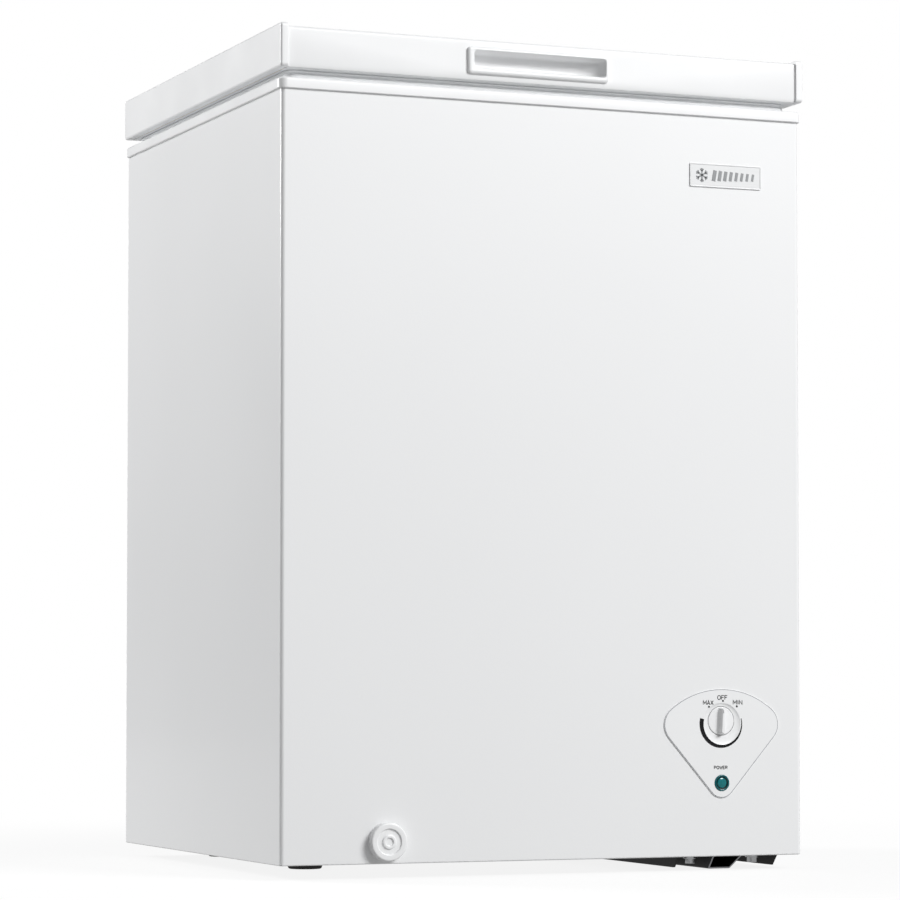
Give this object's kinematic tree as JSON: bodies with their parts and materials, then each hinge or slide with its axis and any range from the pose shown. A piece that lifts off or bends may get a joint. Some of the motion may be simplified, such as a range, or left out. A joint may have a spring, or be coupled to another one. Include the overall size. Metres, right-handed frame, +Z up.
{
  "type": "chest freezer",
  "caption": "Compact white chest freezer with a hinged insulated lid, a front thermostat dial, a front drain and a wire storage basket.",
  "frame": {"origin": "on the floor under the middle of the freezer: the middle of the bounding box's bottom face", "axes": "+Z up, the front with the dial and handle faces -Y, +X to the right of a person facing the front"},
  "size_m": [0.566, 0.525, 0.822],
  "materials": {
    "painted_steel": "gloss",
    "galvanised_sheet": "satin",
    "liner_plastic": "satin",
    "insulation_foam": "matte",
    "trim_plastic": "gloss",
    "black_steel": "satin",
    "black_plastic": "matte",
    "rubber": "matte",
    "zinc": "satin",
    "copper": "satin",
    "aluminium_tube": "satin",
    "thermostat_case": "satin",
    "lamp_teal": "gloss",
    "badge_silver": "satin",
    "gasket_vinyl": "matte",
    "coated_wire": "gloss",
    "grip_plastic": "satin"
  },
  "bodies": {
    "cabinet": {"cabinet_wrapper": "painted_steel", "rear_panel": "galvanised_sheet", "base_panel": "galvanised_sheet", "inner_liner": "liner_plastic", "cabinet_foam": "insulation_foam", "top_frame": "trim_plastic", "compressor_tray": "black_steel", "compressor_shell": "black_steel", "terminal_cover": "black_plastic", "compressor_mounts": "rubber", "compressor_bolts": "zinc", "filter_drier": "copper", "suction_line": "copper", "discharge_line": "copper", "condenser_coil": "black_steel", "evaporator_coil": "aluminium_tube", "rear_grille": "black_plastic", "grille_screws": "zinc", "cord_gland": "black_plastic", "feet": "black_plastic", "foot_screws": "zinc", "control_panel": "trim_plastic", "thermostat": "thermostat_case", "lamp_housing": "black_plastic", "lamp_lens": "lamp_teal", "badge_plate": "badge_silver", "drain_spout": "trim_plastic", "drain_tube": "liner_plastic", "wiring": "black_plastic", "hinge_bracket_left": "zinc", "hinge_bracket_right": "zinc", "hinge_pins": "zinc", "hinge_springs": "zinc", "hinge_cover_left": "trim_plastic", "hinge_cover_right": "trim_plastic", "bracket_screws": "zinc"},
    "lid": {"lid_outer": "painted_steel", "lid_end_cap_left": "trim_plastic", "lid_end_cap_right": "trim_plastic", "lid_inner": "liner_plastic", "lid_foam": "insulation_foam", "lid_gasket": "gasket_vinyl", "lid_handle": "trim_plastic", "hinge_leaf_left": "zinc", "hinge_leaf_right": "zinc", "leaf_screws": "zinc"},
    "basket": {"storage_basket": "coated_wire", "basket_grips": "grip_plastic"},
    "knob": {"thermostat_knob": "trim_plastic"},
    "drain_cap": {"drain_cap": "trim_plastic"},
    "drain_plug": {"drain_plug": "trim_plastic"}
  },
  "joints": [
    {"name": "lid_hinge", "type": "hinge", "parent": "cabinet", "child": "lid", "pos_m": [0, 0.2545, 0.771], "axis": [-1, 0, 0], "range_deg": [0, 75]},
    {"name": "basket_slide", "type": "slide", "parent": "cabinet", "child": "basket", "axis": [1, 0, 0], "range_m": [-0.226, 0]},
    {"name": "thermostat_turn", "type": "hinge", "parent": "cabinet", "child": "knob", "pos_m": [0.1895, -0.25, 0.1495], "axis": [0, 1, 0], "range_deg": [0, 317]},
    {"name": "drain_cap_pull", "type": "slide", "parent": "cabinet", "child": "drain_cap", "axis": [0, -1, 0], "range_m": [0, 0.03]},
    {"name": "drain_plug_lift", "type": "slide", "parent": "cabinet", "child": "drain_plug", "axis": [0, 0, 1], "range_m": [0, 0.03]}
  ]
}
